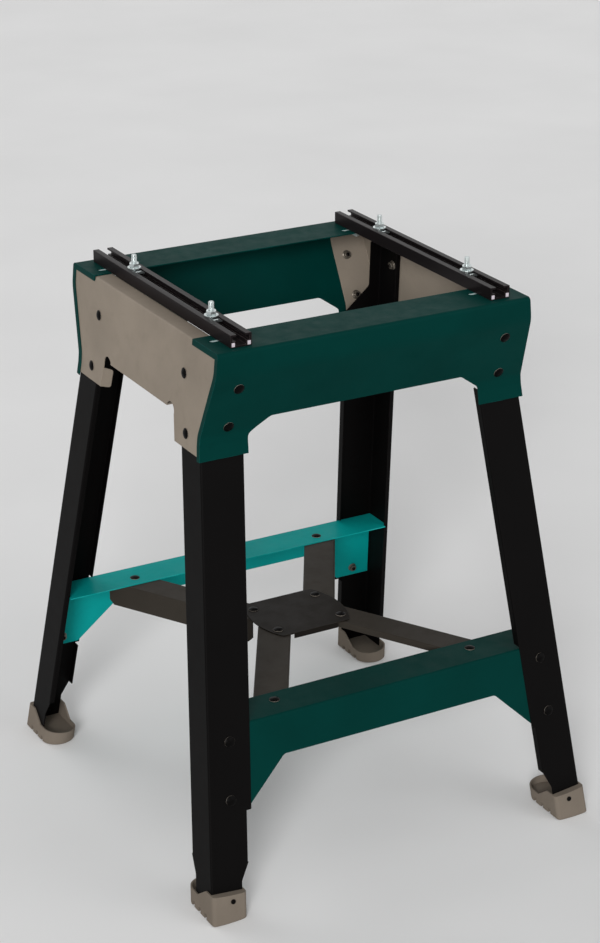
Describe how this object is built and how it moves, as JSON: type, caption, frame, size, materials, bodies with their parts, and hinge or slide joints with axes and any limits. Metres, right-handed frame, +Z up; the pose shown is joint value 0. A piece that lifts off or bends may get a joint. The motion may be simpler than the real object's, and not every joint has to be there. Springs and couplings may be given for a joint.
{
  "type": "miter saw stand",
  "caption": "Four-legged bolted sheet-steel stand for a miter saw, with splayed legs, lower braces and sliding top rails with saw bolts.",
  "frame": {"origin": "on the floor under the middle of the stand", "axes": "+X to the right, +Y to the rear, +Z up"},
  "size_m": [0.6462, 0.6812, 0.8518],
  "materials": {
    "teal_paint": "satin powder coat",
    "panel_paint": "satin powder coat",
    "leg_paint": "satin powder coat",
    "bar_paint": "satin powder coat",
    "rail_metal": "dark anodised",
    "foot_rubber": "matt",
    "black_steel": "black oxide",
    "zinc_steel": "zinc plated",
    "plug_plastic": "moulded"
  },
  "bodies": {
    "stand": {"front_beam": "teal_paint", "rear_beam": "teal_paint", "front_brace": "teal_paint", "rear_brace": "teal_paint", "left_side_panel": "panel_paint", "right_side_panel": "panel_paint", "front_left_leg": "leg_paint", "front_right_leg": "leg_paint", "rear_left_leg": "leg_paint", "rear_right_leg": "leg_paint", "centre_plate": "bar_paint", "front_left_cross_bar": "bar_paint", "front_right_cross_bar": "bar_paint", "rear_left_cross_bar": "bar_paint", "rear_right_cross_bar": "bar_paint", "front_left_foot": "foot_rubber", "front_right_foot": "foot_rubber", "rear_left_foot": "foot_rubber", "rear_right_foot": "foot_rubber", "beam_bolts": "black_steel", "beam_nuts": "black_steel", "panel_bolts": "black_steel", "panel_nuts": "black_steel", "brace_bolts": "black_steel", "brace_nuts": "black_steel", "bar_bolts": "black_steel", "bar_nuts": "black_steel", "plate_bolts": "black_steel", "plate_nuts": "black_steel", "foot_screws": "black_steel"},
    "left_saw_rail": {"left_rail": "rail_metal", "left_rail_plugs": "plug_plastic", "left_rail_bolts": "zinc_steel", "left_clamp_plates": "zinc_steel", "left_rail_nuts": "zinc_steel"},
    "right_saw_rail": {"right_rail": "rail_metal", "right_rail_plugs": "plug_plastic", "right_rail_bolts": "zinc_steel", "right_clamp_plates": "zinc_steel", "right_rail_nuts": "zinc_steel"},
    "front_left_fixing": {"front_left_saw_bolt": "zinc_steel", "front_left_saw_washer": "zinc_steel", "front_left_saw_nut": "zinc_steel"},
    "front_right_fixing": {"front_right_saw_bolt": "zinc_steel", "front_right_saw_washer": "zinc_steel", "front_right_saw_nut": "zinc_steel"},
    "rear_left_fixing": {"rear_left_saw_bolt": "zinc_steel", "rear_left_saw_washer": "zinc_steel", "rear_left_saw_nut": "zinc_steel"},
    "rear_right_fixing": {"rear_right_saw_bolt": "zinc_steel", "rear_right_saw_washer": "zinc_steel", "rear_right_saw_nut": "zinc_steel"}
  },
  "joints": [
    {"name": "left_rail_slide", "type": "slide", "parent": "stand", "child": "left_saw_rail", "axis": [1, 0, 0], "range_m": [-0.015, 0.015]},
    {"name": "right_rail_slide", "type": "slide", "parent": "stand", "child": "right_saw_rail", "axis": [1, 0, 0], "range_m": [-0.015, 0.015]},
    {"name": "front_left_fixing_slide", "type": "slide", "parent": "left_saw_rail", "child": "front_left_fixing", "axis": [0, 1, 0], "range_m": [-0.0663, 0.1137]},
    {"name": "front_right_fixing_slide", "type": "slide", "parent": "right_saw_rail", "child": "front_right_fixing", "axis": [0, 1, 0], "range_m": [-0.0663, 0.1137]},
    {"name": "rear_left_fixing_slide", "type": "slide", "parent": "left_saw_rail", "child": "rear_left_fixing", "axis": [0, 1, 0], "range_m": [-0.092, 0.088]},
    {"name": "rear_right_fixing_slide", "type": "slide", "parent": "right_saw_rail", "child": "rear_right_fixing", "axis": [0, 1, 0], "range_m": [-0.092, 0.088]}
  ]
}
